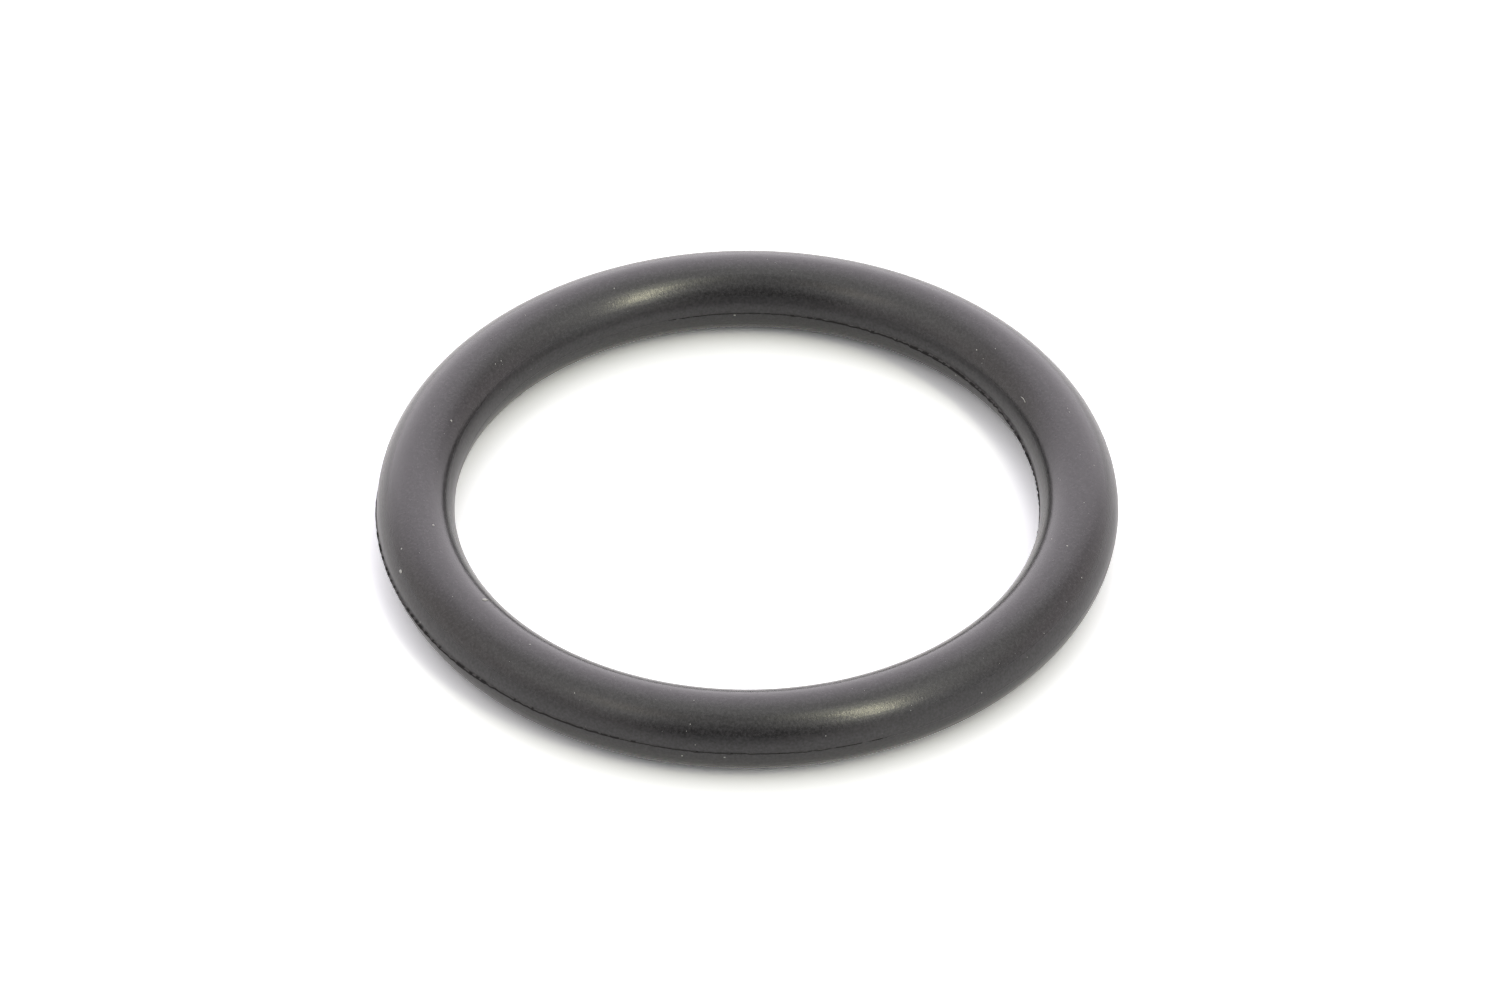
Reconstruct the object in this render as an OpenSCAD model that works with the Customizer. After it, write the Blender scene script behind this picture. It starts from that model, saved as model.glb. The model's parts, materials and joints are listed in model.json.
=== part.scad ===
// Rubber O-ring, lying flat.
//
// One endless ring of round section, moulded in one piece. The two halves of
// the mould meet on the ring's mid-plane and leave a thin trimmed ridge there,
// once around the outside and once around the hole.
//
// Sizes are in millimetres. The origin is the ring's centre, on that mid-plane,
// and Z is the ring's axis.

/* [Ring] */
// Inside diameter of the free ring, measured between the round sections
inner_d = 26.57; // [14:0.01:60]
// Diameter of the round section
section_d = 3.53; // [1.5:0.01:6]

/* [Parting ridge] */
// Width of the ridge, along the ring's axis
ridge_w = 0.12; // [0.06:0.01:0.3]
// Height of the ridge above the section, around the outside
outer_ridge_h = 0.08; // [0.02:0.01:0.2]
// Height of the ridge above the section, around the hole
inner_ridge_h = 0.10; // [0.02:0.01:0.2]

/* [Hidden] */

// Radius of the circle that the centre of the section follows
centre_r = (inner_d + section_d) / 2;
// Narrowest radius, on the ridge around the hole
hole_land_r = inner_d / 2 - inner_ridge_h;
// Widest radius, on the ridge around the outside
rim_land_r = inner_d / 2 + section_d + outer_ridge_h;

// Steps around the ring and around its section
ring_steps = 240;
section_steps = 96;

// Charcoal black of the moulded rubber
rubber_colour = [0.20, 0.19, 0.20];

// The round section, where it stands to the right of the ring's axis
module section() {
    translate([centre_r, 0])
        circle(d = section_d, $fn = section_steps);
}

// The seam of the mould: a thin band across the section on the mid-plane,
// which stands proud on both sides as the trimmed ridge
module parting_band() {
    translate([hole_land_r, -ridge_w / 2])
        square([rim_land_r - hole_land_r, ridge_w]);
}

// The whole ring: the section and its ridge, carried once around the axis
module o_ring() {
    color(rubber_colour)
        rotate_extrude($fn = ring_steps) {
            section();
            parting_band();
        }
}

o_ring();
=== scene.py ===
"""Looks of a rubber O-ring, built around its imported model.

The ring lies flat on a pale floor inside a white light tent. The tent's wall is
brightest behind the ring and at a lamp to the front right, and it is open
towards the camera. Lengths are in metres, in the model's frame: the origin is
the ring's centre on the plane where the mould's halves met, and Z is the
ring's axis.
"""

import json
import logging
import math
from collections.abc import Sequence
from dataclasses import dataclass, field
from enum import Enum
from typing import Any

import bpy
import numpy as np
from mathutils import Matrix, Vector


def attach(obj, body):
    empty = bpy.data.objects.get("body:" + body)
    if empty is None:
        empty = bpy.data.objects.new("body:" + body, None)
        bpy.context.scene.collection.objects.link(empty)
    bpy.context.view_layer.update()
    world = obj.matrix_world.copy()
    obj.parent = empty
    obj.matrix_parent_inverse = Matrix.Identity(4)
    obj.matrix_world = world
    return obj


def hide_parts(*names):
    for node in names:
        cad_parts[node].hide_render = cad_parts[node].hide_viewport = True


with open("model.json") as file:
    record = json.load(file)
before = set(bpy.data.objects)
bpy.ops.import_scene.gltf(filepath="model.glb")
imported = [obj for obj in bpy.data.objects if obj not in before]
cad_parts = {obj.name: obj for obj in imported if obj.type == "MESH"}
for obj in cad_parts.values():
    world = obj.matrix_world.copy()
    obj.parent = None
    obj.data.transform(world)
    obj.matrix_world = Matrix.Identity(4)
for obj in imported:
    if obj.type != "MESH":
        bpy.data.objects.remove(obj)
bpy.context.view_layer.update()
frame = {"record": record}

LOG = logging.getLogger("o_ring")
MM = 0.001
FULL_TURN = 2 * math.pi
IMAGE_SIZE = (1500, 1001)
# A noise texture's values mostly lie between these two.
NOISE_LOW, NOISE_HIGH = 0.3, 0.7


def linear(hex_colour: str) -> tuple[float, float, float, float]:
    """Turns an sRGB hex colour into linear red, green, blue and alpha.

    Each channel below 0.04045 is divided by 12.92; any other is raised by the
    sRGB curve, ((channel + 0.055) / 1.055) to the power 2.4.

    Args:
        hex_colour: Six hex digits with a leading hash sign.

    Returns:
        Four numbers from 0 to 1, the last of them 1.
    """
    channels = np.array([int(hex_colour[i : i + 2], 16) for i in (1, 3, 5)]) / 255
    curve = ((channels + 0.055) / 1.055) ** 2.4
    red, green, blue = np.where(channels <= 0.04045, channels / 12.92, curve)
    return (float(red), float(green), float(blue), 1.0)


def direction(azimuth: float, elevation: float) -> Vector:
    """Gives the unit vector that points to a place on the sky.

    Args:
        azimuth: Degrees from +X towards +Y.
        elevation: Degrees above the horizon.

    Returns:
        The vector (cos e cos a, cos e sin a, sin e).
    """
    a, e = math.radians(azimuth), math.radians(elevation)
    return Vector((math.cos(e) * math.cos(a), math.cos(e) * math.sin(a), math.sin(e)))


def add_node(
    tree: bpy.types.NodeTree,
    kind: str,
    links: dict[str | int, bpy.types.NodeSocket] | None = None,
    values: dict[str | int, Any] | None = None,
    **settings: Any,
) -> bpy.types.Node:
    """Adds one node with its settings, socket values and incoming links.

    Args:
        tree: The node tree that takes the node.
        kind: Blender's name for the type of node.
        links: Input name or number, and the output socket that feeds it.
        values: Input name or number, and its constant value.
        **settings: Attributes of the node itself, such as operation.

    Returns:
        The new node.
    """
    node = tree.nodes.new(kind)
    for name, value in settings.items():
        setattr(node, name, value)
    for name, value in (values or {}).items():
        node.inputs[name].default_value = value
    for name, source in (links or {}).items():
        tree.links.new(source, node.inputs[name])
    return node


def empty_tree(owner: bpy.types.Material | bpy.types.World) -> bpy.types.NodeTree:
    """Turns on the nodes of a material or a world, without the default ones.

    Args:
        owner: The material or the world.

    Returns:
        Its node tree, which is empty.
    """
    owner.use_nodes = True
    owner.node_tree.nodes.clear()
    return owner.node_tree


def ragged(
    angle: np.ndarray, seed: int, lowest: int, highest: int, slope: float = 0.5
) -> np.ndarray:
    """Draws an uneven line around the ring that meets itself without a step.

    The line is a sum of cosines of whole multiples k of the ring angle, each
    with a random phase and a height that falls as k to the power -slope. It is
    scaled to a standard deviation of one.

    Args:
        angle: Ring angles in radians.
        seed: Seed of the random phases.
        lowest: Lowest multiple, which sets the longest wave.
        highest: Highest multiple, which sets the shortest wave.
        slope: How quickly the short waves get lower.

    Returns:
        One height for each ring angle.
    """
    multiples = np.arange(lowest, highest + 1)
    phases = np.random.default_rng(seed).uniform(0, FULL_TURN, multiples.size)
    heights = multiples.astype(float) ** -slope
    waves = np.cos(np.outer(angle, multiples) + phases) @ heights
    return waves / math.sqrt((heights**2).sum() / 2)


def new_mesh_object(
    name: str, points: np.ndarray, faces: np.ndarray, smooth: bool = True
) -> bpy.types.Object:
    """Puts a surface into the scene as a mesh object at the origin.

    Args:
        name: Name of the object and of its mesh.
        points: Array of points by three.
        faces: Array of faces by corners, as numbers of points.
        smooth: Whether the faces are shaded as one smooth surface.

    Returns:
        The new object.
    """
    mesh = bpy.data.meshes.new(name)
    mesh.from_pydata(points.tolist(), [], faces.tolist())
    mesh.polygons.foreach_set("use_smooth", np.full(len(faces), smooth))
    mesh.update()
    piece = bpy.data.objects.new(name, mesh)
    bpy.context.scene.collection.objects.link(piece)
    return piece


def ball_faces(rows: int, columns: int) -> np.ndarray:
    """Lists the triangles of a ball whose points are a pole, rows and a pole.

    Args:
        rows: Number of rows between the poles.
        columns: Number of points in a row.

    Returns:
        Array of triangles by three, with their corners facing outward.
    """
    column = np.arange(columns)
    ahead = (column + 1) % columns
    row = 1 + np.arange(rows - 1)[:, None] * columns
    low, high = row + column, row + ahead
    sides = [
        np.stack([low, low + columns, high + columns], axis=-1),
        np.stack([low, high + columns, high], axis=-1),
    ]
    last = rows * columns + 1
    base = last - columns
    top = np.stack([np.zeros_like(column), 1 + column, 1 + ahead], axis=-1)
    bottom = np.stack([np.full_like(column, last), base + ahead, base + column], axis=-1)
    return np.concatenate([top, *[side.reshape(-1, 3) for side in sides], bottom])


def mount_radius(name: str) -> float:
    """Gives the radius in metres of the record's round mount of that name."""
    mounts = {mount["name"]: mount for mount in frame["record"]["mounts"]}
    return mounts[name]["dims"]["r_mm"] * MM


class Side(Enum):
    """The two places on the section where the mould's halves met."""

    RIM = 1
    HOLE = -1


@dataclass(frozen=True)
class MouldedRubber:
    """Black nitrile rubber as a polished mould leaves it.

    Carbon black makes it a deep charcoal, and the steel of the mould gives it
    a satin gloss. Fine turning marks of the mould run around the ring.
    """

    colour: str = "#201f21"
    bloom_colour: str = "#242325"
    # Nitrile rubber has an IOR of 1.52, and the carbon black in it adds to that.
    ior: float = 1.65
    roughness: tuple[float, float] = (0.18, 0.23)
    # Tumbling off the flash left the skin this much rougher near the mid-plane.
    dulled: float = 0.14
    dulled_within: float = 0.70 * MM
    dulled_up_to: float = 1.05 * MM
    # A thin film of wax and dust catches light where the skin turns away.
    film: float = 0.45
    film_roughness: float = 0.3
    # A moulded skin's grain of 0.03 mm is too fine to show, so it is 0.13 mm.
    grain: float = 0.13 * MM
    grain_depth: float = 0.005 * MM
    # Carbon black lies unevenly at the skin, which peppers its colour.
    pepper: float = 0.12 * MM
    pepper_range: tuple[float, float] = (0.3, 1.7)
    # The turning marks' depth, and the width of the faint cloudy areas.
    mark_depth: float = 0.0030 * MM
    mottle: float = 2.5 * MM

    def material(self) -> bpy.types.Material:
        """Builds the material of the ring's skin.

        Returns:
            The material, with marks along the ring, grain, a faint bloom and a
            duller band on both sides of the seam.
        """
        skin = bpy.data.materials.new("moulded_nitrile_rubber")
        tree = empty_tree(skin)
        along = add_node(tree, "ShaderNodeAttribute", attribute_name="marks_along")
        across = add_node(tree, "ShaderNodeAttribute", attribute_name="marks_across")
        marks = add_node(
            tree,
            "ShaderNodeTexNoise",
            links={"Vector": along.outputs["Vector"], "W": across.outputs["Fac"]},
            values={"Scale": 1.0, "Detail": 2.0, "Roughness": 0.6},
            noise_dimensions="4D",
        )
        place = add_node(tree, "ShaderNodeTexCoord")
        grain = add_node(
            tree,
            "ShaderNodeTexNoise",
            links={"Vector": place.outputs["Object"]},
            values={"Scale": 1 / self.grain, "Detail": 2.0, "Roughness": 0.6},
        )
        mottle = add_node(
            tree,
            "ShaderNodeTexNoise",
            links={"Vector": place.outputs["Object"]},
            values={"Scale": 1 / self.mottle, "Detail": 4.0, "Roughness": 0.6},
        )
        bloom = add_node(
            tree,
            "ShaderNodeMix",
            links={"Factor": mottle.outputs["Fac"]},
            values={"A": linear(self.colour), "B": linear(self.bloom_colour)},
            data_type="RGBA",
        )
        specks = add_node(
            tree,
            "ShaderNodeTexNoise",
            links={"Vector": place.outputs["Object"]},
            values={"Scale": 1 / self.pepper, "Detail": 1.0, "Roughness": 0.6},
        )
        pepper = add_node(
            tree,
            "ShaderNodeMapRange",
            links={"Value": specks.outputs["Fac"]},
            values={
                "From Min": NOISE_LOW,
                "From Max": NOISE_HIGH,
                "To Min": self.pepper_range[0],
                "To Max": self.pepper_range[1],
            },
        )
        colour = add_node(
            tree,
            "ShaderNodeVectorMath",
            links={0: bloom.outputs["Result"], "Scale": pepper.outputs["Result"]},
            operation="SCALE",
        )
        gloss = add_node(
            tree,
            "ShaderNodeMapRange",
            links={"Value": mottle.outputs["Fac"]},
            values={
                "From Min": NOISE_LOW,
                "From Max": NOISE_HIGH,
                "To Min": self.roughness[0],
                "To Max": self.roughness[1],
            },
        )
        spot = add_node(tree, "ShaderNodeSeparateXYZ", links={0: place.outputs["Object"]})
        off_seam = add_node(
            tree, "ShaderNodeMath", links={0: spot.outputs["Z"]}, operation="ABSOLUTE"
        )
        dulled = add_node(
            tree,
            "ShaderNodeMapRange",
            links={"Value": off_seam.outputs["Value"]},
            values={
                "From Min": self.dulled_within,
                "From Max": self.dulled_up_to,
                "To Min": self.dulled,
                "To Max": 0.0,
            },
            interpolation_type="SMOOTHSTEP",
        )
        roughness = add_node(
            tree,
            "ShaderNodeMath",
            links={0: gloss.outputs["Result"], 1: dulled.outputs["Result"]},
            operation="ADD",
        )
        mark_bump = add_node(
            tree,
            "ShaderNodeBump",
            links={"Height": marks.outputs["Fac"]},
            values={"Strength": 1.0, "Distance": self.mark_depth},
        )
        grain_bump = add_node(
            tree,
            "ShaderNodeBump",
            links={"Height": grain.outputs["Fac"], "Normal": mark_bump.outputs["Normal"]},
            values={"Strength": 1.0, "Distance": self.grain_depth},
        )
        shader = add_node(
            tree,
            "ShaderNodeBsdfPrincipled",
            links={
                "Base Color": colour.outputs["Vector"],
                "Roughness": roughness.outputs["Value"],
                "Normal": grain_bump.outputs["Normal"],
            },
            values={
                "IOR": self.ior,
                "Sheen Weight": self.film,
                "Sheen Roughness": self.film_roughness,
            },
        )
        add_node(
            tree, "ShaderNodeOutputMaterial", links={"Surface": shader.outputs["BSDF"]}
        )
        return skin


@dataclass(frozen=True)
class TornRubber:
    """The same rubber where the mould's flash was torn off.

    The torn face is rough and full of tiny holes, so it spreads what it
    reflects and looks darker than the skin where the skin shines.
    """

    colour: str = "#1f1e1f"
    roughness: float = 0.95
    specular: float = 0.40
    # A tear's crumbs of 0.02 mm are too fine to show, so they are 0.06 mm.
    crumb: float = 0.06 * MM
    crumb_depth: float = 0.01 * MM

    def material(self) -> bpy.types.Material:
        """Builds the material of the torn ridge.

        Returns:
            The material, matt and crumbly.
        """
        torn = bpy.data.materials.new("torn_flash_rubber")
        tree = empty_tree(torn)
        place = add_node(tree, "ShaderNodeTexCoord")
        crumbs = add_node(
            tree,
            "ShaderNodeTexNoise",
            links={"Vector": place.outputs["Object"]},
            values={"Scale": 1 / self.crumb, "Detail": 3.0},
        )
        bump = add_node(
            tree,
            "ShaderNodeBump",
            links={"Height": crumbs.outputs["Fac"]},
            values={"Strength": 1.0, "Distance": self.crumb_depth},
        )
        shader = add_node(
            tree,
            "ShaderNodeBsdfPrincipled",
            links={"Normal": bump.outputs["Normal"]},
            values={
                "Base Color": linear(self.colour),
                "Roughness": self.roughness,
                "Specular IOR Level": self.specular,
            },
        )
        add_node(
            tree, "ShaderNodeOutputMaterial", links={"Surface": shader.outputs["BSDF"]}
        )
        return torn


@dataclass(frozen=True)
class HouseDust:
    """Settled grains of pale dust and a short fibre, dry and quite matt."""

    colour: str = "#c0c1bf"
    shade_colour: str = "#908f8d"
    roughness: float = 0.9
    specular: float = 0.2
    # Grains differ from one to the next, so the shade changes every 0.2 mm.
    shade: float = 0.2 * MM

    def material(self) -> bpy.types.Material:
        """Builds the material of the dust.

        Returns:
            The material, whose shade changes from grain to grain.
        """
        dust = bpy.data.materials.new("settled_house_dust")
        tree = empty_tree(dust)
        place = add_node(tree, "ShaderNodeTexCoord")
        patches = add_node(
            tree,
            "ShaderNodeTexNoise",
            links={"Vector": place.outputs["Object"]},
            values={"Scale": 1 / self.shade, "Detail": 1.0},
        )
        colour = add_node(
            tree,
            "ShaderNodeMix",
            links={"Factor": patches.outputs["Fac"]},
            values={"A": linear(self.colour), "B": linear(self.shade_colour)},
            data_type="RGBA",
        )
        shader = add_node(
            tree,
            "ShaderNodeBsdfPrincipled",
            links={"Base Color": colour.outputs["Result"]},
            values={"Roughness": self.roughness, "Specular IOR Level": self.specular},
        )
        add_node(
            tree, "ShaderNodeOutputMaterial", links={"Surface": shader.outputs["BSDF"]}
        )
        return dust


@dataclass(frozen=True)
class SeamReading:
    """The seam at one ring angle in degrees, as read from the photograph.

    above is the height of its middle over the mid-plane, and strength says how
    strongly it shows, from 0 to 1.
    """

    ring_angle: float
    above: float
    strength: float


@dataclass(frozen=True)
class SeamRidge:
    """The ridge that trimmed flash leaves where the mould's halves met.

    The halves were slightly out of line, so the ridge is tall on one side of
    the ring and fades away towards the other. It rises from low, where it does
    not show, to tall, where its torn face has its full width.
    """

    side: Side
    tall: float
    width: float
    readings: Sequence[SeamReading]
    seed: int
    low: float = 0.01 * MM
    # Long and short changes of its strength, and how many waves go around.
    long_change: float = 0.10
    long_waves: tuple[int, int] = (3, 40)
    short_change: float = 0.12
    short_waves: tuple[int, int] = (60, 260)
    short_slope: float = 0.2
    # How far its middle strays, as a share of its width, and the waves of that.
    stray: float = 0.10
    stray_waves: tuple[int, int] = (2, 30)

    def read(self, ring_angle: np.ndarray, name: str) -> np.ndarray:
        """Joins the readings of one kind by straight lines around the ring.

        Args:
            ring_angle: Ring angles in radians.
            name: The reading's field, above or strength.

        Returns:
            One value for each ring angle.
        """
        places = [reading.ring_angle for reading in self.readings]
        values = [getattr(reading, name) for reading in self.readings]
        return np.interp(np.degrees(ring_angle), places, values, period=360)

    def strength(self, ring_angle: np.ndarray) -> np.ndarray:
        """Says how strongly the ridge shows, from 0 to 1.

        The strength is the readings' own plus small uneven changes times its
        square root, and is held between 0 and 1.

        Args:
            ring_angle: Ring angles in radians.

        Returns:
            One strength for each ring angle.
        """
        plan = self.read(ring_angle, "strength")
        uneven = self.long_change * ragged(ring_angle, self.seed, *self.long_waves)
        torn = self.short_change * ragged(
            ring_angle, self.seed + 1, *self.short_waves, slope=self.short_slope
        )
        return np.clip(plan + (uneven + torn) * np.sqrt(plan), 0, 1)

    def height(self, ring_angle: np.ndarray) -> np.ndarray:
        """Gives the ridge's height above the section at each ring angle."""
        return self.low + (self.tall - self.low) * self.strength(ring_angle)

    def half_width(self, ring_angle: np.ndarray) -> np.ndarray:
        """Gives half the width of the torn face at each ring angle."""
        return 0.5 * self.width * self.strength(ring_angle)

    def course(self, ring_angle: np.ndarray) -> np.ndarray:
        """Gives how far the middle of the torn face lies above the mid-plane.

        The course is the readings' own plus a small share of the torn face's
        width times an uneven line.

        Args:
            ring_angle: Ring angles in radians.

        Returns:
            One height for each ring angle.
        """
        uneven = ragged(ring_angle, self.seed + 2, *self.stray_waves)
        return self.read(ring_angle, "above") + self.stray * self.width * uneven


RIM_SEAM = (
    SeamReading(175, -0.05 * MM, 0.0),
    SeamReading(181, -0.05 * MM, 0.9),
    SeamReading(203, -0.03 * MM, 1.0),
    SeamReading(213, 0.02 * MM, 0.95),
    SeamReading(223, 0.065 * MM, 0.85),
    SeamReading(233, 0.12 * MM, 0.75),
    SeamReading(246, 0.14 * MM, 0.5),
    SeamReading(262, 0.11 * MM, 0.45),
    SeamReading(270, 0.12 * MM, 0.4),
    SeamReading(279, 0.05 * MM, 0.4),
    SeamReading(288, 0.03 * MM, 0.2),
    SeamReading(297, 0.00 * MM, 0.0),
)
HOLE_SEAM = (
    SeamReading(342, -0.22 * MM, 0.0),
    SeamReading(350, -0.22 * MM, 0.4),
    SeamReading(4, -0.22 * MM, 0.8),
    SeamReading(17, -0.17 * MM, 0.85),
    SeamReading(26, -0.06 * MM, 0.85),
    SeamReading(36, -0.01 * MM, 0.85),
    SeamReading(46, 0.04 * MM, 0.9),
    SeamReading(57, 0.06 * MM, 0.75),
    SeamReading(68, 0.03 * MM, 0.6),
    SeamReading(79, 0.03 * MM, 0.5),
    SeamReading(90, 0.00 * MM, 0.4),
    SeamReading(101, 0.00 * MM, 0.2),
    SeamReading(109, 0.00 * MM, 0.0),
)


@dataclass
class RubberRing:
    """The ring itself: a round section carried around the axis, and its seam."""

    inner_d: float = 26.57 * MM
    section_d: float = 3.53 * MM
    ridge_w: float = 0.12 * MM
    # The torn face's full width at the rim and in the hole, as shares of ridge_w.
    rim_tear: float = 0.75
    hole_tear: float = 0.85
    # How far out the ridge's sides slope down to the skin.
    flank: float = 0.02 * MM
    # The mould was turned with a feed of about 0.1 mm, which left these marks.
    mark_length: float = 2.2 * MM
    mark_width: float = 0.10 * MM
    steps_around: int = 960
    steps_section: int = 104
    # Steps of the section in degrees: at the mid-plane, their growth, the largest.
    finest_step: float = 0.35
    step_growth: float = 0.2
    coarsest_step: float = 5.5
    skin: MouldedRubber = field(default_factory=MouldedRubber)
    tear: TornRubber = field(default_factory=TornRubber)

    def __post_init__(self) -> None:
        """Works out the radii and the two ridges from the driving sizes."""
        self.section_r = self.section_d / 2
        self.centre_r = (self.inner_d + self.section_d) / 2
        rim_land = mount_radius("outside_diameter")
        hole_land = mount_radius("inside_diameter")
        self.ridges = (
            SeamRidge(
                side=Side.RIM,
                tall=rim_land - self.centre_r - self.section_r,
                width=self.rim_tear * self.ridge_w,
                readings=RIM_SEAM,
                seed=11,
            ),
            SeamRidge(
                side=Side.HOLE,
                tall=self.centre_r - self.section_r - hole_land,
                width=self.hole_tear * self.ridge_w,
                readings=HOLE_SEAM,
                seed=23,
            ),
        )

    def section_columns(self) -> np.ndarray:
        """Spaces the points around the section, closely at the mid-plane.

        The step grows in proportion to the distance from the mid-plane, up to
        a largest step. The angles are those at which the sum of 1 / step
        reaches whole numbers.

        Returns:
            Section angles in radians, from 0 at the rim, through the top.
        """
        samples = 2001
        fine = np.linspace(0, 90, samples)
        step = np.minimum(self.finest_step + self.step_growth * fine, self.coarsest_step)
        count = np.concatenate([[0], np.cumsum(np.diff(fine) / step[1:])])
        share = np.arange(self.steps_section // 4 + 1) * 4 / self.steps_section
        quarter = np.interp(share, count / count[-1], fine)
        half = np.concatenate([quarter, 180 - quarter[-2::-1]])
        return np.radians(np.concatenate([half, 360 - half[-2:0:-1]]))

    def section_grid(self, around: np.ndarray) -> np.ndarray:
        """Bends the section's closely spaced points along with the two ridges.

        At the rim and at the hole each point turns by the angle whose sine is
        the height of the ridge's middle over the section's radius. The turn
        fades with the cosine of the section angle towards the top and bottom.

        Args:
            around: Ring angles, one for each row of the grid.

        Returns:
            Section angles as an array of rows by columns.
        """
        columns = self.section_columns()[None]
        angles = np.repeat(columns, around.size, axis=0)
        for ridge in self.ridges:
            turn = np.arcsin(ridge.course(around) / self.section_r)[:, None]
            share = np.clip(ridge.side.value * np.cos(columns), 0, 1)
            angles += ridge.side.value * turn * share
        return angles

    def surface(self, ring_angle: np.ndarray, section_angle: np.ndarray) -> np.ndarray:
        """Finds points of the plain ring, without its ridges.

        The distance from the axis is centre radius + section radius times the
        cosine of the section angle, and the height is section radius times its
        sine.

        Args:
            ring_angle: Angle around the axis in radians.
            section_angle: Angle around the section in radians, 0 at the rim.

        Returns:
            Array with the points' x, y and z last.
        """
        away = self.centre_r + self.section_r * np.cos(section_angle)
        height = self.section_r * np.sin(section_angle) * np.ones_like(ring_angle)
        return np.stack(
            [away * np.cos(ring_angle), away * np.sin(ring_angle), height], axis=-1
        )

    def seam_lift(
        self, around: np.ndarray, section_angle: np.ndarray
    ) -> tuple[np.ndarray, np.ndarray]:
        """Works out the ridges' lift and where their torn faces are.

        A ridge stands straight out from the axis. Its lift is its height where
        the skin is within half the torn face's width of the ridge's middle, and
        falls to nothing over a short flank outside that.

        Args:
            around: Ring angles, one for each row of the grid.
            section_angle: Grid of section angles.

        Returns:
            The signed lift away from the axis, and True where the face is torn.
        """
        # A face thinner than this is a smooth trace of the seam, not a tear.
        thinnest = 0.2 * self.flank
        height = self.section_r * np.sin(section_angle)
        outward = np.cos(section_angle)
        lift = np.zeros(section_angle.shape)
        torn = np.zeros(section_angle.shape, dtype=bool)
        for ridge in self.ridges:
            near = outward * ridge.side.value > 0
            wide = ridge.half_width(around)[:, None]
            gap = np.abs(height - ridge.course(around)[:, None]) - wide
            share = np.clip(1 - gap / self.flank, 0, 1) * near
            lift += ridge.side.value * share * ridge.height(around)[:, None]
            torn |= near & (gap < self.flank) & (wide > thinnest)
        return lift, torn

    def build(self) -> bpy.types.Object:
        """Builds the ring's mesh and dresses it.

        Each point of the plain ring moves straight out from the axis by the
        seam's lift there. Faces with four corners close the grid both ways.

        Returns:
            The ring as one closed piece.
        """
        around = np.arange(self.steps_around) * FULL_TURN / self.steps_around
        section_angle = self.section_grid(around)
        lift, torn = self.seam_lift(around, section_angle)
        ring_angle = np.repeat(around[:, None], section_angle.shape[1], axis=1)
        points = self.surface(ring_angle, section_angle)
        points[..., 0] += lift * np.cos(ring_angle)
        points[..., 1] += lift * np.sin(ring_angle)
        rows, columns = ring_angle.shape
        number = np.arange(rows * columns).reshape(rows, columns)
        next_row, next_column = np.roll(number, -1, 0), np.roll(number, -1, 1)
        corner = np.roll(next_row, -1, 1)
        faces = np.stack([number, next_row, corner, next_column], axis=-1).reshape(-1, 4)
        piece = new_mesh_object("ring_body", points.reshape(-1, 3), faces)
        piece.data.materials.append(self.skin.material())
        piece.data.materials.append(self.tear.material())
        torn_face = torn & np.roll(torn, -1, 0) & np.roll(torn, -1, 1)
        piece.data.polygons.foreach_set("material_index", torn_face.ravel().astype(np.int32))
        self.store_marks(piece, ring_angle, section_angle)
        return piece

    def store_marks(
        self, piece: bpy.types.Object, ring_angle: np.ndarray, section_angle: np.ndarray
    ) -> None:
        """Stores where each point lies for the marks that run along the ring.

        Both angles become circles, so that a pattern drawn in these four
        numbers meets itself. The circle around the axis is measured in lengths
        of a mark, and the one around the section in widths of a mark.

        Args:
            piece: The ring, whose mesh takes the attributes.
            ring_angle: Grid of ring angles.
            section_angle: Grid of section angles.
        """
        long_way = self.centre_r / self.mark_length
        short_way = self.section_r / self.mark_width
        along = np.stack(
            [
                long_way * np.cos(ring_angle),
                long_way * np.sin(ring_angle),
                short_way * np.cos(section_angle),
            ],
            axis=-1,
        )
        across = short_way * np.sin(section_angle)
        mesh = piece.data
        mesh.attributes.new("marks_along", "FLOAT_VECTOR", "POINT")
        mesh.attributes["marks_along"].data.foreach_set("vector", along.ravel())
        mesh.attributes.new("marks_across", "FLOAT", "POINT")
        mesh.attributes["marks_across"].data.foreach_set("value", across.ravel())


@dataclass(frozen=True)
class Speck:
    """One grain of dust: its place on the ring in degrees, and its width."""

    ring_angle: float
    section_angle: float
    width: float


@dataclass(frozen=True)
class LintFibre:
    """One short lint fibre that lies along the ring."""

    ring_angle: float = 24.5
    section_angle: float = 132.5
    length: float = 0.45 * MM
    width: float = 0.03 * MM
    bend: float = 0.03 * MM
    rows: int = 15
    columns: int = 8

    def shape(self) -> np.ndarray:
        """Shapes the fibre: a thin bent rod with round ends.

        Along the rod the share s runs from -1 to 1, its radius is half the
        width times the fourth root of 1 - s to the fourth power, and its middle
        is bent sideways by the bend times s squared.

        Returns:
            The points of the rod: a pole, the rows, and the other pole.
        """
        share = np.cos(np.linspace(0, math.pi, self.rows + 2)[1:-1])
        turn = np.arange(self.columns) * FULL_TURN / self.columns
        share, turn = np.meshgrid(share, turn, indexing="ij")
        radius = self.width / 2 * (1 - share**4) ** 0.25
        rod = np.stack(
            [
                self.length / 2 * share,
                self.bend * share**2 + radius * np.cos(turn),
                self.width / 4 + radius * np.sin(turn),
            ],
            axis=-1,
        ).reshape(-1, 3)
        first = np.array([[self.length / 2, self.bend, self.width / 4]])
        last = first * np.array([-1, 1, 1])
        return np.concatenate([first, rod, last])


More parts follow.
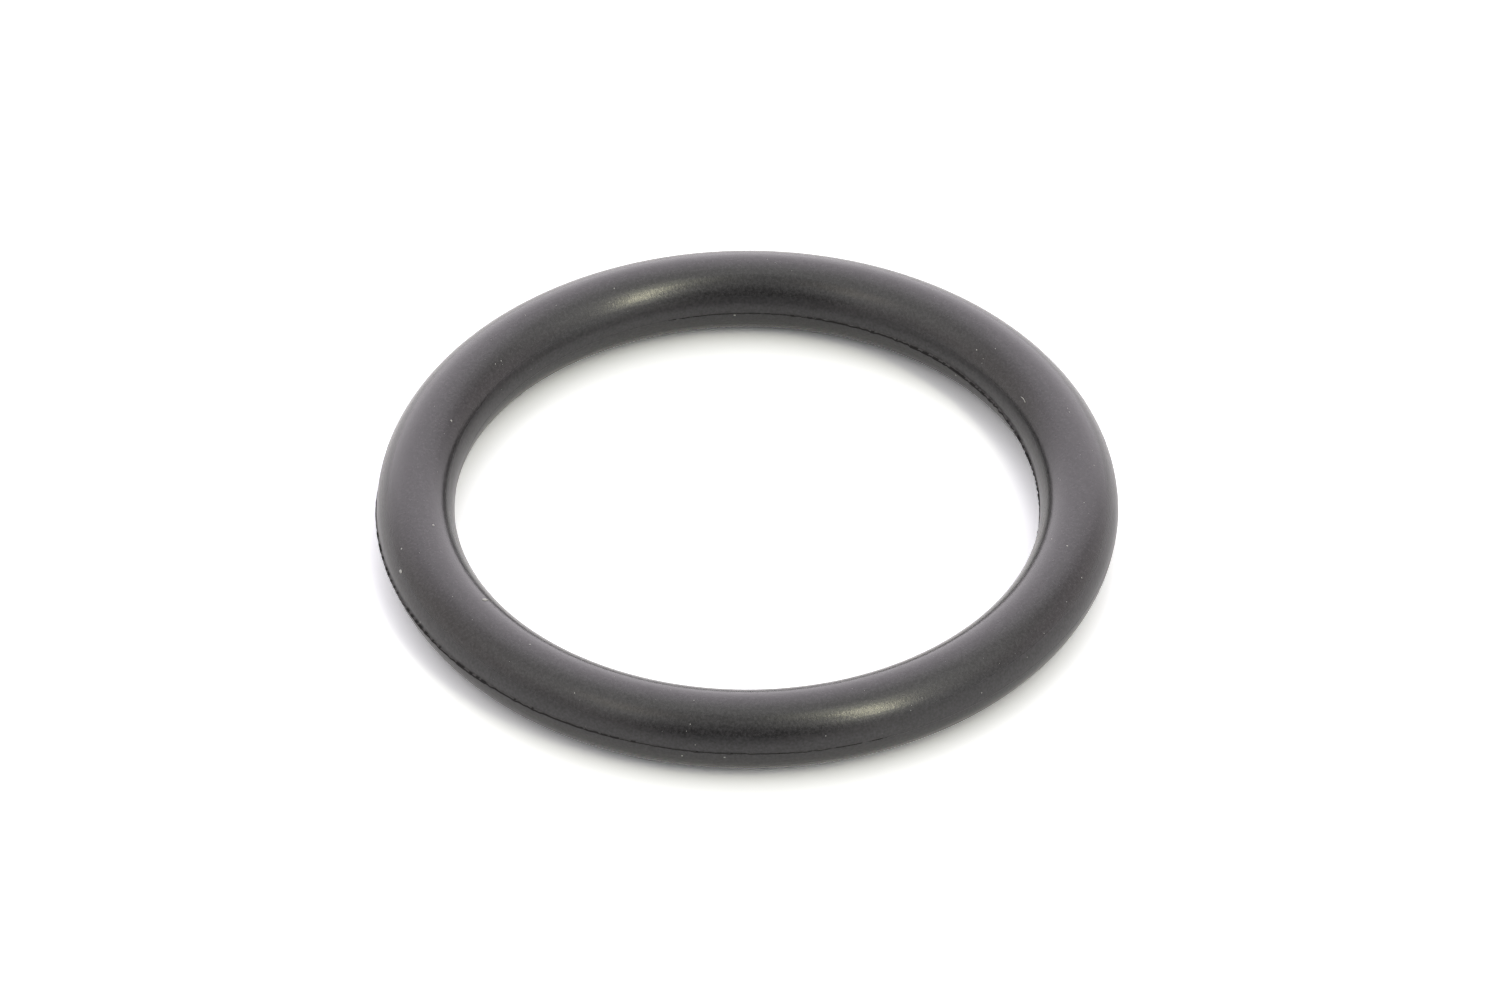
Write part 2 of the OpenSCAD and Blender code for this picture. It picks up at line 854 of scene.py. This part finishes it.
@dataclass
class SettledDust:
    """The specks of dust and the one fibre that lie on the ring."""

    ring: RubberRing
    finish: HouseDust = field(default_factory=HouseDust)
    fibre: LintFibre = field(default_factory=LintFibre)
    rows: int = 4
    columns: int = 8
    # A grain's height over its width, its lumps, and how far it is stretched.
    thickness: float = 0.3
    lump: float = 0.25
    stretch_range: tuple[float, float] = (0.85, 1.35)
    fine_count: int = 110
    fine_width: tuple[float, float] = (0.015 * MM, 0.036 * MM)
    fine_seed: int = 5
    # The specks that show best: ring angle, section angle and width.
    clear: Sequence[Speck] = (
        Speck(215, 113, 0.26 * MM),
        Speck(199.5, 31, 0.19 * MM),
        Speck(341.5, 86, 0.08 * MM),
        Speck(143.5, 126, 0.06 * MM),
        Speck(193, 107, 0.11 * MM),
        Speck(209, 6, 0.09 * MM),
        Speck(163, 123, 0.10 * MM),
        Speck(196, 49, 0.09 * MM),
        Speck(38, 111, 0.05 * MM),
        Speck(266.5, -4, 0.09 * MM),
        Speck(261, 45, 0.05 * MM),
        Speck(260, -8, 0.08 * MM),
        Speck(262, 15, 0.04 * MM),
        Speck(44, -171, 0.09 * MM),
        Speck(92.5, -177, 0.10 * MM),
        Speck(337, 44, 0.07 * MM),
        Speck(41, 130, 0.07 * MM),
        Speck(229.5, 93, 0.07 * MM),
        Speck(218, 71, 0.04 * MM),
        Speck(115, 109, 0.07 * MM),
        Speck(261, 83, 0.06 * MM),
        Speck(126.5, 100, 0.04 * MM),
        Speck(296, 32, 0.04 * MM),
        Speck(241.5, 52, 0.05 * MM),
        Speck(331, 42, 0.05 * MM),
        Speck(353, 81, 0.05 * MM),
        Speck(308.5, 13, 0.06 * MM),
        Speck(16.5, 82, 0.06 * MM),
        Speck(318.5, 22, 0.04 * MM),
        Speck(145, 124, 0.05 * MM),
        Speck(211.5, 75, 0.04 * MM),
        Speck(282, 24, 0.05 * MM),
        Speck(323.5, 34, 0.04 * MM),
        Speck(343, 114, 0.06 * MM),
        Speck(3, 67, 0.05 * MM),
    )

    def fine(self) -> list[Speck]:
        """Scatters fine specks at random over the ring's upper half.

        Returns:
            The specks, with their places and widths evenly spread at random.
        """
        random = np.random.default_rng(self.fine_seed)
        ring_angle = random.uniform(0, 360, self.fine_count)
        section_angle = random.uniform(0, 180, self.fine_count)
        width = random.uniform(*self.fine_width, self.fine_count)
        return [Speck(*place) for place in zip(ring_angle, section_angle, width)]

    def grain(self, speck: Speck, seed: int) -> np.ndarray:
        """Shapes one grain: a flattened ball with lumps, half sunk in the skin.

        The ball's radius is 1 + the lump times a product of cosines of its own
        two angles, and its height is a fixed share of its width.

        Args:
            speck: Place and width of the grain.
            seed: Seed of its lumps.

        Returns:
            The points of the grain: a pole, the rows, and the other pole.
        """
        random = np.random.default_rng(seed)
        phase = random.uniform(0, FULL_TURN, 3)
        stretch = random.uniform(*self.stretch_range)
        tilt = np.linspace(0, math.pi, self.rows + 2)[1:-1]
        turn = np.arange(self.columns) * FULL_TURN / self.columns
        tilt, turn = np.meshgrid(tilt, turn, indexing="ij")
        waves = np.cos(2 * turn + phase[0]) * np.cos(3 * tilt + phase[1])
        reach = (1 + self.lump * waves) * np.sin(tilt)
        ball = np.stack(
            [
                reach * np.cos(turn + phase[2]) * stretch,
                reach * np.sin(turn + phase[2]) / stretch,
                self.thickness * np.cos(tilt),
            ],
            axis=-1,
        ).reshape(-1, 3)
        pole = np.array([[0, 0, self.thickness]])
        ball = np.concatenate([pole, ball, -pole]) * speck.width / 2
        return self.placed(ball, speck.ring_angle, speck.section_angle)

    def placed(self, shape: np.ndarray, ring_deg: float, section_deg: float) -> np.ndarray:
        """Moves a shape from its own axes to a place on the ring.

        A point becomes the place on the skin plus its x times the direction
        along the ring, its y times the one up the section and its z times the
        outward one.

        Args:
            shape: Points with x along the ring, y up the section and z outward.
            ring_deg: Ring angle in degrees.
            section_deg: Section angle in degrees.

        Returns:
            The same points in the model's frame.
        """
        ring_angle, section_angle = math.radians(ring_deg), math.radians(section_deg)
        spot = self.ring.surface(np.array(ring_angle), np.array(section_angle))
        radial = np.array([math.cos(ring_angle), math.sin(ring_angle), 0])
        axis = np.array([0.0, 0.0, 1.0])
        outward = radial * math.cos(section_angle) + axis * math.sin(section_angle)
        along = np.array([-radial[1], radial[0], 0])
        upward = np.cross(outward, along)
        return spot + shape @ np.stack([along, upward, outward])

    def build(self) -> bpy.types.Object:
        """Builds all the grains and the fibre as one piece.

        Returns:
            The dust, a piece of many small closed solids.
        """
        specks = [*self.clear, *self.fine()]
        grains = [self.grain(speck, seed) for seed, speck in enumerate(specks)]
        offsets = np.arange(len(grains))[:, None, None] * len(grains[0])
        grain_faces = (ball_faces(self.rows, self.columns)[None] + offsets).reshape(-1, 3)
        fibre = self.fibre
        rod = self.placed(fibre.shape(), fibre.ring_angle, fibre.section_angle)
        rod_faces = ball_faces(fibre.rows, fibre.columns) + len(grains) * len(grains[0])
        points = np.concatenate([*grains, rod])
        faces = np.concatenate([grain_faces, rod_faces])
        piece = new_mesh_object("settled_dust", points, faces)
        piece.data.materials.append(self.finish.material())
        return piece


@dataclass(frozen=True)
class TentPatch:
    """A round patch of the tent with a soft edge.

    The patch is at its full strength within one angle of its middle, and gone
    beyond another.
    """

    azimuth: float
    elevation: float
    full_within: float
    gone_beyond: float

    def share(
        self, tree: bpy.types.NodeTree, way: bpy.types.NodeSocket
    ) -> bpy.types.NodeSocket:
        """Says how far into the patch a direction lies.

        The share is a smooth step of the cosine of the angle to the patch's
        middle, from 0 at its edge to 1 in its middle.

        Args:
            tree: The sky's node tree.
            way: Socket with the direction that is looked in.

        Returns:
            The socket with the share.
        """
        cosine = add_node(
            tree,
            "ShaderNodeVectorMath",
            links={0: way},
            values={1: direction(self.azimuth, self.elevation)},
            operation="DOT_PRODUCT",
        )
        share = add_node(
            tree,
            "ShaderNodeMapRange",
            links={"Value": cosine.outputs["Value"]},
            values={
                "From Min": math.cos(math.radians(self.gone_beyond)),
                "From Max": math.cos(math.radians(self.full_within)),
            },
            interpolation_type="SMOOTHSTEP",
        )
        return share.outputs["Result"]


@dataclass(frozen=True)
class BrightPatch(TentPatch):
    """A patch whose middle adds light in red, green and blue."""

    light: tuple[float, float, float]

    def apply(
        self,
        tree: bpy.types.NodeTree,
        way: bpy.types.NodeSocket,
        light: bpy.types.NodeSocket,
    ) -> bpy.types.NodeSocket:
        """Adds the patch to the tent's light so far.

        Args:
            tree: The sky's node tree.
            way: Socket with the direction that is looked in.
            light: Socket with the tent's light so far.

        Returns:
            The socket with the new light.
        """
        glow = add_node(
            tree,
            "ShaderNodeVectorMath",
            links={"Scale": self.share(tree, way)},
            values={0: self.light},
            operation="SCALE",
        )
        added = add_node(
            tree,
            "ShaderNodeVectorMath",
            links={0: light, 1: glow.outputs["Vector"]},
            operation="ADD",
        )
        return added.outputs["Vector"]


@dataclass(frozen=True)
class DarkPatch(TentPatch):
    """A patch whose middle takes away a share of the light."""

    taken: float

    def apply(
        self,
        tree: bpy.types.NodeTree,
        way: bpy.types.NodeSocket,
        light: bpy.types.NodeSocket,
    ) -> bpy.types.NodeSocket:
        """Takes the patch's share away from the tent's light so far.

        Args:
            tree: The sky's node tree.
            way: Socket with the direction that is looked in.
            light: Socket with the tent's light so far.

        Returns:
            The socket with the new light.
        """
        kept = add_node(
            tree,
            "ShaderNodeMapRange",
            links={"Value": self.share(tree, way)},
            values={"To Min": 1.0, "To Max": 1.0 - self.taken},
        )
        shaded = add_node(
            tree,
            "ShaderNodeVectorMath",
            links={0: light, "Scale": kept.outputs["Result"]},
            operation="SCALE",
        )
        return shaded.outputs["Vector"]


@dataclass
class LightTent:
    """The pale floor and the white tent around the ring."""

    floor_z: float
    # The tent's own light at the horizon and at the zenith.
    horizon: tuple[float, float, float] = (0.75, 0.70, 0.69)
    zenith: tuple[float, float, float] = (0.20, 0.13, 0.14)
    # Each patch works on what the patches before it give.
    patches: Sequence[BrightPatch | DarkPatch] = (
        # Wide diffuser behind the ring.
        BrightPatch(92.5, 13, 0.5, 71, (1.67, 1.60, 1.73)),
        # Soft light from above.
        BrightPatch(283.5, 70.5, 0.5, 73.5, (1.10, 1.16, 1.12)),
        # The lamp, a tall strip made of three round parts, low to high.
        BrightPatch(311.5, 38, 0.5, 12.5, (1.55, 1.57, 1.28)),
        BrightPatch(316, 54, 0.5, 11, (1.45, 1.45, 1.08)),
        BrightPatch(316.5, 67.5, 0.5, 13.5, (1.80, 1.80, 1.39)),
        # The lamp's hot middle, three small round parts, low to high.
        BrightPatch(312.5, 42.5, 0.5, 3.3, (18.0, 17.1, 12.0)),
        BrightPatch(314.5, 50.5, 0.5, 3.3, (20.0, 19.0, 13.3)),
        BrightPatch(314.5, 58.5, 0.5, 3.3, (14.0, 13.3, 9.3)),
        # Pale walls to the left and to the right.
        BrightPatch(173.5, 25, 0.5, 36.5, (0.43, 0.43, 0.41)),
        BrightPatch(14, 13.5, 13.5, 27, (0.31, 0.29, 0.30)),
        BrightPatch(221, 61, 2, 13.5, (0.64, 0.55, 0.44)),
        BrightPatch(222, 52, 1, 8, (0.35, 0.33, 0.25)),
        # Folds of the tent to both sides of the diffuser.
        DarkPatch(145, 12, 3, 20, 0.15),
        DarkPatch(40, 12, 3, 20, 0.15),
        # The tent's opening towards the camera, and the camera itself.
        DarkPatch(267, 21.5, 13, 39.5, 0.80),
        DarkPatch(261.5, 64.5, 8.5, 26.5, 0.51),
        # The lit floor that goes on through the opening.
        BrightPatch(262, 0, 6, 22, (0.14, 0.17, 0.17)),
        BrightPatch(208.5, 3.5, 4, 25.5, (0.11, 0.14, 0.14)),
        BrightPatch(331, 4.5, 8, 30.5, (0.11, 0.15, 0.15)),
    )
    floor_colour: str = "#eaebee"
    # Its satin face throws the bright wall behind the ring on towards the front.
    floor_roughness: float = 0.35
    floor_ior: float = 1.5
    # How much brighter the camera sees the floor.
    camera_boost: tuple[float, float, float] = (1.64, 1.66, 1.68)
    floor_width: float = 4.0

    def build(self) -> None:
        """Builds the floor and the tent's light."""
        self.build_floor()
        self.build_sky()

    def build_floor(self) -> None:
        """Lays the floor, which the camera sees as white outside the shadow.

        Its colour is raised for the camera alone, and it is open from below, so
        that the ring's underside can be looked at.
        """
        reach = self.floor_width / 2
        corners = np.array([[-1, -1, 0], [1, -1, 0], [1, 1, 0], [-1, 1, 0]]) * reach
        corners = corners + np.array([0, 0, self.floor_z])
        floor = new_mesh_object("floor", corners, np.array([[0, 1, 2, 3]]), smooth=False)
        paper = bpy.data.materials.new("satin_white_paper")
        tree = empty_tree(paper)
        path = add_node(tree, "ShaderNodeLightPath")
        plain = np.array(linear(self.floor_colour)[:3])
        colour = add_node(
            tree,
            "ShaderNodeMix",
            links={"Factor": path.outputs["Is Camera Ray"]},
            values={"A": (*plain, 1.0), "B": (*plain * self.camera_boost, 1.0)},
            data_type="RGBA",
        )
        satin = add_node(
            tree,
            "ShaderNodeBsdfPrincipled",
            links={"Base Color": colour.outputs["Result"]},
            values={"Roughness": self.floor_roughness, "IOR": self.floor_ior},
        )
        place = add_node(tree, "ShaderNodeNewGeometry")
        from_below = add_node(
            tree,
            "ShaderNodeMath",
            links={
                0: place.outputs["Backfacing"],
                1: path.outputs["Is Camera Ray"],
            },
            operation="MULTIPLY",
        )
        clear = add_node(tree, "ShaderNodeBsdfTransparent")
        shown = add_node(
            tree,
            "ShaderNodeMixShader",
            links={
                0: from_below.outputs["Value"],
                1: satin.outputs["BSDF"],
                2: clear.outputs["BSDF"],
            },
        )
        add_node(tree, "ShaderNodeOutputMaterial", links={"Surface": shown.outputs["Shader"]})
        floor.data.materials.append(paper)

    def build_sky(self) -> None:
        """Builds the tent as a sky that the camera itself sees as plain white.

        The light goes from the horizon's to the zenith's in proportion to the
        height of the direction, and each patch then adds or takes away in turn.
        """
        world = bpy.data.worlds.new("white_light_tent")
        bpy.context.scene.world = world
        tree = empty_tree(world)
        way = add_node(tree, "ShaderNodeTexCoord").outputs["Generated"]
        height = add_node(tree, "ShaderNodeSeparateXYZ", links={0: way})
        base = add_node(
            tree,
            "ShaderNodeMix",
            links={"Factor": height.outputs["Z"]},
            values={"A": (*self.horizon, 1.0), "B": (*self.zenith, 1.0)},
            data_type="RGBA",
        )
        light = base.outputs["Result"]
        for patch in self.patches:
            light = patch.apply(tree, way, light)
        tent = add_node(tree, "ShaderNodeBackground", links={"Color": light})
        white = add_node(tree, "ShaderNodeBackground", values={"Color": (1, 1, 1, 1)})
        path = add_node(tree, "ShaderNodeLightPath")
        seen = add_node(
            tree,
            "ShaderNodeMixShader",
            links={
                0: path.outputs["Is Camera Ray"],
                1: tent.outputs["Background"],
                2: white.outputs["Background"],
            },
        )
        add_node(tree, "ShaderNodeOutputWorld", links={"Surface": seen.outputs["Shader"]})


@dataclass
class PhotoCamera:
    """A camera at the photograph's place and angle."""

    unit: float
    distance: float = 40.0
    elevation: float = 41.55
    roll: float = -0.08
    aim: tuple[float, float] = (0.0078, 0.0185)
    focal_pixels: float = 13265.0
    sensor: float = 36.0
    nearest: float = 0.01

    def build(self) -> bpy.types.Object:
        """Places the camera; its distance and aim are in units of the ring.

        Returns:
            The camera, which becomes the scene's own.
        """
        data = bpy.data.cameras.new("photo_camera")
        data.sensor_width = self.sensor
        data.lens = self.focal_pixels / IMAGE_SIZE[0] * self.sensor
        data.clip_start = self.nearest
        camera = bpy.data.objects.new("photo_camera", data)
        bpy.context.scene.collection.objects.link(camera)
        back = direction(-90, self.elevation)
        level_right = Vector((1, 0, 0))
        level_up = back.cross(level_right)
        roll = math.radians(self.roll)
        right = level_right * math.cos(roll) + level_up * math.sin(roll)
        upward = back.cross(right)
        target = Vector((*self.aim, 0)) * self.unit
        turn = Matrix((right, upward, back)).transposed().to_4x4()
        place = target + back * self.distance * self.unit
        camera.matrix_world = Matrix.Translation(place) @ turn
        bpy.context.scene.camera = camera
        return camera


def main() -> None:
    """Builds the ring, its dust, the tent and the camera, in that order."""
    logging.basicConfig(level=logging.INFO, format="%(name)s: %(message)s")
    bpy.context.scene.view_settings.view_transform = "Standard"
    ring = RubberRing()
    body = ring.build()
    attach(body, "root")
    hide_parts("o_ring")
    LOG.info("%s: %d faces", body.name, len(body.data.polygons))
    dust = SettledDust(ring).build()
    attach(dust, "root")
    LOG.info("%s: %d faces", dust.name, len(dust.data.polygons))
    LightTent(floor_z=-ring.section_r).build()
    PhotoCamera(unit=ring.centre_r).build()


if __name__ == "__main__":
    main()
